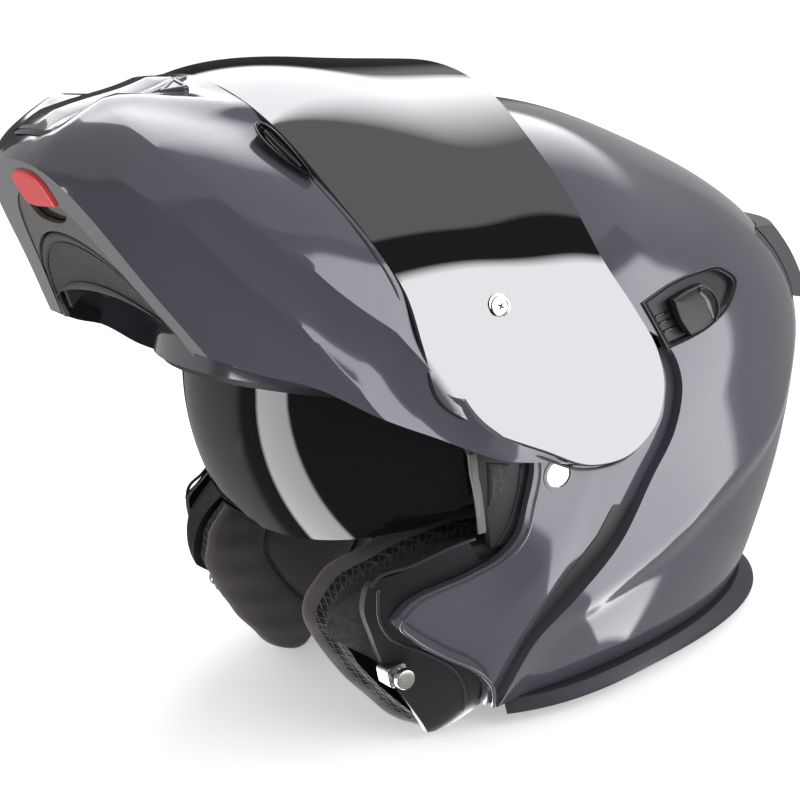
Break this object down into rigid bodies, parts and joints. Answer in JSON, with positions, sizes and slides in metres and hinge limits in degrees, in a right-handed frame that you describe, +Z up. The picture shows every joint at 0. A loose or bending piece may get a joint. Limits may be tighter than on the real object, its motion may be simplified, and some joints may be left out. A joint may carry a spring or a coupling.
{
  "type": "modular motorcycle helmet",
  "caption": "Modular motorcycle helmet with its chin bar raised, clear visor, dark inner visor, padded lining, vents and chin strap.",
  "frame": {"origin": "middle of the bounding box, on the surface that the helmet stands on", "axes": "-Y is the way the wearer faces, +X is the wearer's left, +Z is up"},
  "size_m": [0.259, 0.3498, 0.298],
  "materials": {
    "painted_shell": "gloss",
    "polished_stud": "polished",
    "black_plastic": "matte",
    "gloss_black": "gloss",
    "rubber": "matte",
    "foam": "matte",
    "lining_fabric": "matte",
    "mesh_fabric": "matte",
    "steel": "satin",
    "webbing": "matte",
    "red_plastic": "satin",
    "clear_plastic": "gloss",
    "visor_sheet": "gloss",
    "smoked_sheet": "gloss"
  },
  "bodies": {
    "root": {"outer_shell": "painted_shell", "stop_stud_left": "polished_stud", "stop_stud_right": "polished_stud", "stop_collar_left": "black_plastic", "stop_collar_right": "black_plastic", "step_gasket_left": "rubber", "step_gasket_right": "rubber", "eps_liner": "foam", "crown_liner": "lining_fabric", "base_trim": "rubber", "neck_roll": "lining_fabric", "eye_port_frame": "black_plastic", "cheek_plate_left": "black_plastic", "cheek_plate_right": "black_plastic", "cheek_pad_left": "lining_fabric", "cheek_pad_right": "lining_fabric", "cheek_foam_left": "foam", "cheek_foam_right": "foam", "striker_pin_left": "steel", "striker_pin_right": "steel", "pivot_bolt_left": "steel", "pivot_bolt_right": "steel", "slider_housing": "black_plastic", "crown_vent_base": "black_plastic", "rear_spoiler": "gloss_black", "chin_strap_left": "webbing", "chin_strap_right": "webbing", "strap_anchor_left": "steel", "strap_anchor_right": "steel", "buckle_body": "black_plastic", "buckle_tongue": "red_plastic"},
    "chin_bar": {"chin_shell": "painted_shell", "visor_base_plate_left": "black_plastic", "visor_base_plate_right": "black_plastic", "chin_foam": "foam", "chin_lining": "lining_fabric", "chin_bottom_plate": "black_plastic", "chin_curtain": "mesh_fabric", "chin_seal_left": "rubber", "chin_seal_right": "rubber", "chin_vent_base": "black_plastic", "latch_pin_left": "steel", "latch_pin_right": "steel"},
    "visor": {"face_shield": "visor_sheet", "visor_lift_tab": "black_plastic", "lens_pin_left": "clear_plastic", "lens_pin_right": "clear_plastic", "visor_hub_left": "black_plastic", "visor_hub_right": "black_plastic"},
    "sun_visor": {"sun_visor": "smoked_sheet", "sun_visor_arm_left": "black_plastic", "sun_visor_arm_right": "black_plastic"},
    "sun_slider": {"sun_slider_knob": "black_plastic"},
    "release_tab": {"release_tab": "red_plastic"},
    "latch_left": {"latch_left": "steel"},
    "latch_right": {"latch_right": "steel"},
    "chin_vent_cover": {"chin_vent_cover": "painted_shell"},
    "crown_vent_slider": {"crown_vent_slider": "black_plastic"},
    "buckle_lever": {"buckle_lever": "black_plastic"}
  },
  "joints": [
    {"name": "chin_bar_hinge", "type": "hinge", "parent": "root", "child": "chin_bar", "pos_m": [0, 0.00579, 0.134], "axis": [-1, 0, 0], "range_deg": [-71, 0]},
    {"name": "visor_hinge", "type": "hinge", "parent": "chin_bar", "child": "visor", "pos_m": [0, 0.00579, 0.134], "axis": [-1, 0, 0], "range_deg": [0, 45]},
    {"name": "sun_visor_hinge", "type": "hinge", "parent": "root", "child": "sun_visor", "pos_m": [0, 0.00579, 0.134], "axis": [-1, 0, 0], "range_deg": [0, 38]},
    {"name": "sun_slider_slide", "type": "slide", "parent": "root", "child": "sun_slider", "axis": [0, 1, 0], "range_m": [0, 0.014]},
    {"name": "release_press", "type": "slide", "parent": "chin_bar", "child": "release_tab", "axis": [0, 0.3256, -0.9455], "range_m": [0, 0.005], "stiffness_N_per_m": 800},
    {"name": "latch_left_hinge", "type": "hinge", "parent": "chin_bar", "child": "latch_left", "pos_m": [0.0853, -0.11055, 0.22614], "axis": [-1, 0, 0], "range_deg": [0, 16]},
    {"name": "latch_right_hinge", "type": "hinge", "parent": "chin_bar", "child": "latch_right", "pos_m": [-0.0853, -0.11055, 0.22614], "axis": [-1, 0, 0], "range_deg": [0, 16]},
    {"name": "chin_vent_slide", "type": "slide", "parent": "chin_bar", "child": "chin_vent_cover", "axis": [0, -0.9983, -0.0582], "range_m": [0, 0.004]},
    {"name": "crown_vent_slide", "type": "slide", "parent": "root", "child": "crown_vent_slider", "axis": [0, 1, 0], "range_m": [0, 0.008]},
    {"name": "buckle_lever_hinge", "type": "hinge", "parent": "root", "child": "buckle_lever", "pos_m": [-0.012, 0.01929, 0.0165], "axis": [0, 1, 0], "range_deg": [0, 25], "stiffness_Nm_per_rad": 0.02}
  ],
  "couplings": [
    {"joint": "sun_slider_slide", "follows": "sun_visor_hinge", "m_per_rad": 0.021088},
    {"joint": "latch_left_hinge", "follows": "release_press", "rad_per_m": 55.795},
    {"joint": "latch_right_hinge", "follows": "release_press", "rad_per_m": 55.795}
  ]
}
